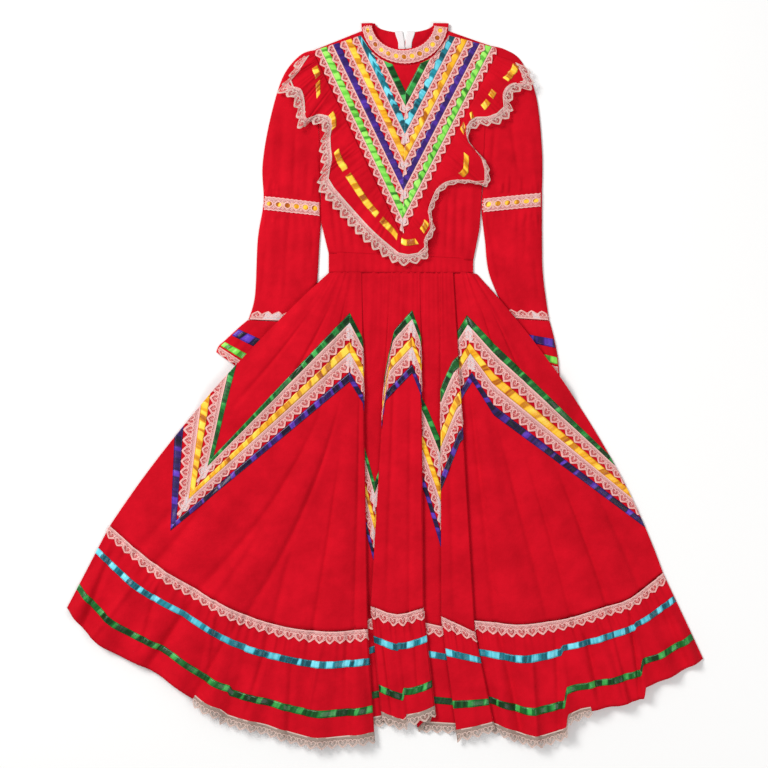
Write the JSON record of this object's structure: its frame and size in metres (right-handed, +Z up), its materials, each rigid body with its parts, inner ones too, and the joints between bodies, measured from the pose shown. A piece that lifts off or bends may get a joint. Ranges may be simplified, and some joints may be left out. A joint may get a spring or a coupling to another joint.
{
  "type": "folklorico dress",
  "caption": "Long-sleeved red cotton folklorico dress laid flat, with a pointed ribbon and lace yoke, a gathered bertha ruffle and a full skirt with zigzag trim and a flounce.",
  "frame": {"origin": "centre of the bounding box's bottom face, on the surface that the dress lies on", "axes": "+X across the dress to the right as seen from above, +Y from the hem to the neck, +Z up from the surface, the front of the dress facing up"},
  "size_m": [1.176, 1.336, 0.0284],
  "materials": {
    "red_cotton": "plain-woven cotton, matt",
    "cotton_lace": "openwork cotton lace, matt",
    "gold_satin": "satin-woven ribbon, glossy",
    "turquoise_satin": "satin-woven ribbon, glossy",
    "green_satin": "satin-woven ribbon, glossy",
    "lime_satin": "satin-woven ribbon, glossy",
    "purple_satin": "satin-woven ribbon, glossy",
    "zip_tape": "woven polyester tape, matt"
  },
  "bodies": {
    "root": {"back_zip": "zip_tape", "bertha_gold_ribbon": "gold_satin", "bertha_lace": "cotton_lace", "bertha_ruffle": "red_cotton", "bodice_back_l": "red_cotton", "bodice_back_r": "red_cotton", "bodice_front": "red_cotton", "collar_back_l": "red_cotton", "collar_back_r": "red_cotton", "collar_beading_lace": "cotton_lace", "collar_front": "red_cotton", "collar_gold_ribbon": "gold_satin", "cuff_flounce_l": "red_cotton", "cuff_flounce_r": "red_cotton", "cuff_lace_l": "cotton_lace", "cuff_lace_r": "cotton_lace", "cuff_lime_ribbon_l": "lime_satin", "cuff_lime_ribbon_r": "lime_satin", "cuff_purple_ribbon_l": "purple_satin", "cuff_purple_ribbon_r": "purple_satin", "elbow_beading_lace_l": "cotton_lace", "elbow_beading_lace_r": "cotton_lace", "elbow_gold_ribbon_l": "gold_satin", "elbow_gold_ribbon_r": "gold_satin", "flounce_back": "red_cotton", "flounce_front": "red_cotton", "flounce_green_ribbon": "green_satin", "flounce_turquoise_ribbon": "turquoise_satin", "hem_lace": "cotton_lace", "seam_lace": "cotton_lace", "skirt_back_l": "red_cotton", "skirt_back_r": "red_cotton", "skirt_front": "red_cotton", "sleeve_l": "red_cotton", "sleeve_r": "red_cotton", "waistband_back_l": "red_cotton", "waistband_back_r": "red_cotton", "waistband_front": "red_cotton", "wrist_lace_l": "cotton_lace", "wrist_lace_r": "cotton_lace", "yoke_edge_lace": "cotton_lace", "yoke_green_ribbon": "green_satin", "yoke_lace_1": "cotton_lace", "yoke_lace_2": "cotton_lace", "yoke_lace_3": "cotton_lace", "yoke_lace_4": "cotton_lace", "yoke_lime_ribbon": "lime_satin", "yoke_purple_ribbon": "purple_satin", "yoke_turquoise_ribbon": "turquoise_satin", "yoke_yellow_ribbon": "gold_satin", "zigzag_green_ribbon": "green_satin", "zigzag_lower_lace": "cotton_lace", "zigzag_purple_ribbon": "purple_satin", "zigzag_upper_lace": "cotton_lace", "zigzag_yellow_ribbon": "gold_satin"}
  },
  "joints": []
}
